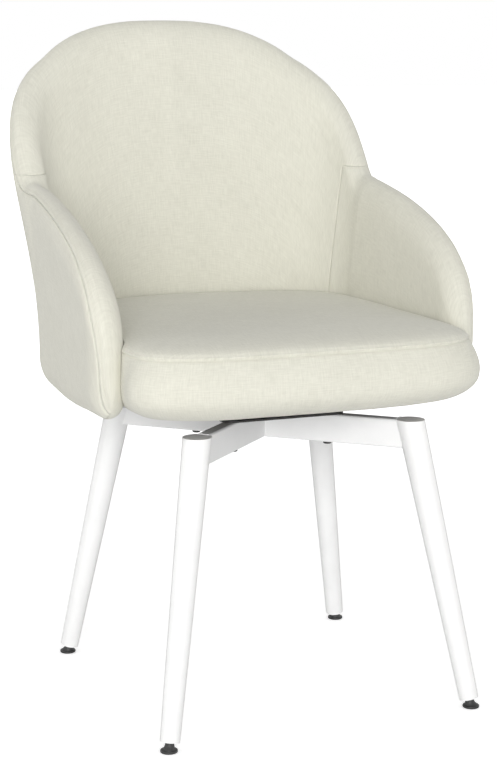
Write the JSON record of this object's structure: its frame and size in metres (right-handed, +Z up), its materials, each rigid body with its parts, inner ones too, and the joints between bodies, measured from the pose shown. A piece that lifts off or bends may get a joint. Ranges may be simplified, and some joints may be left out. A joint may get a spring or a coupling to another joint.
{
  "type": "swivel dining chair",
  "caption": "Upholstered bucket dining chair with arms that turns on a ball-bearing swivel over a cross of tube with splayed tapered legs and levelling glides.",
  "frame": {"origin": "on the floor under the middle of the chair's footprint; the swivel axis stands 87.4 mm in front of it, at X = 0", "axes": "+Z up, the seat faces -Y at rest, +X to the right as seen from the front"},
  "size_m": [0.5431, 0.6296, 0.8929],
  "materials": {
    "linen": "woven",
    "white_metal": "powder coated",
    "black_metal": "satin",
    "steel": "zinc plated",
    "plywood": "unfinished",
    "black_plastic": "moulded",
    "black_cloth": "non-woven"
  },
  "bodies": {
    "base": {"front_left_leg": "white_metal", "front_right_leg": "white_metal", "rear_right_leg": "white_metal", "rear_left_leg": "white_metal", "leg_top_caps": "white_metal", "crossbar_long": "white_metal", "crossbar_short_left": "white_metal", "crossbar_short_right": "white_metal", "leg_inserts": "black_plastic", "base_bolts": "black_metal", "base_bolt_nuts": "steel", "swivel_lower_plate": "black_metal", "swivel_balls": "steel", "ball_cage": "black_plastic", "centre_rivet": "steel"},
    "seat": {"swivel_upper_plate": "black_metal", "seat_plate_screws": "steel", "seat_tee_nuts": "steel", "seat_board": "plywood", "dust_cover": "black_cloth", "seat_cushion": "linen", "shell_brackets": "steel", "shell_bracket_screws": "steel", "seat_bracket_screws": "steel", "shell_board": "plywood", "inside_back_pad": "linen", "left_arm_pad": "linen", "right_arm_pad": "linen", "outside_upholstery": "linen"},
    "front_left_glide": {"front_left_glide_foot": "black_plastic", "front_left_glide_stem": "steel"},
    "front_right_glide": {"front_right_glide_foot": "black_plastic", "front_right_glide_stem": "steel"},
    "rear_right_glide": {"rear_right_glide_foot": "black_plastic", "rear_right_glide_stem": "steel"},
    "rear_left_glide": {"rear_left_glide_foot": "black_plastic", "rear_left_glide_stem": "steel"}
  },
  "joints": [
    {"name": "seat_swivel", "type": "hinge", "parent": "base", "child": "seat", "pos_m": [0, -0.0874, 0.3927], "axis": [0, 0, 1], "continuous": true},
    {"name": "front_left_levelling", "type": "slide", "parent": "base", "child": "front_left_glide", "axis": [-0.1619, -0.1619, -0.9734], "range_m": [0, 0.008]},
    {"name": "front_right_levelling", "type": "slide", "parent": "base", "child": "front_right_glide", "axis": [0.1619, -0.1619, -0.9734], "range_m": [0, 0.008]},
    {"name": "rear_right_levelling", "type": "slide", "parent": "base", "child": "rear_right_glide", "axis": [0.1619, 0.1619, -0.9734], "range_m": [0, 0.008]},
    {"name": "rear_left_levelling", "type": "slide", "parent": "base", "child": "rear_left_glide", "axis": [-0.1619, 0.1619, -0.9734], "range_m": [0, 0.008]}
  ]
}
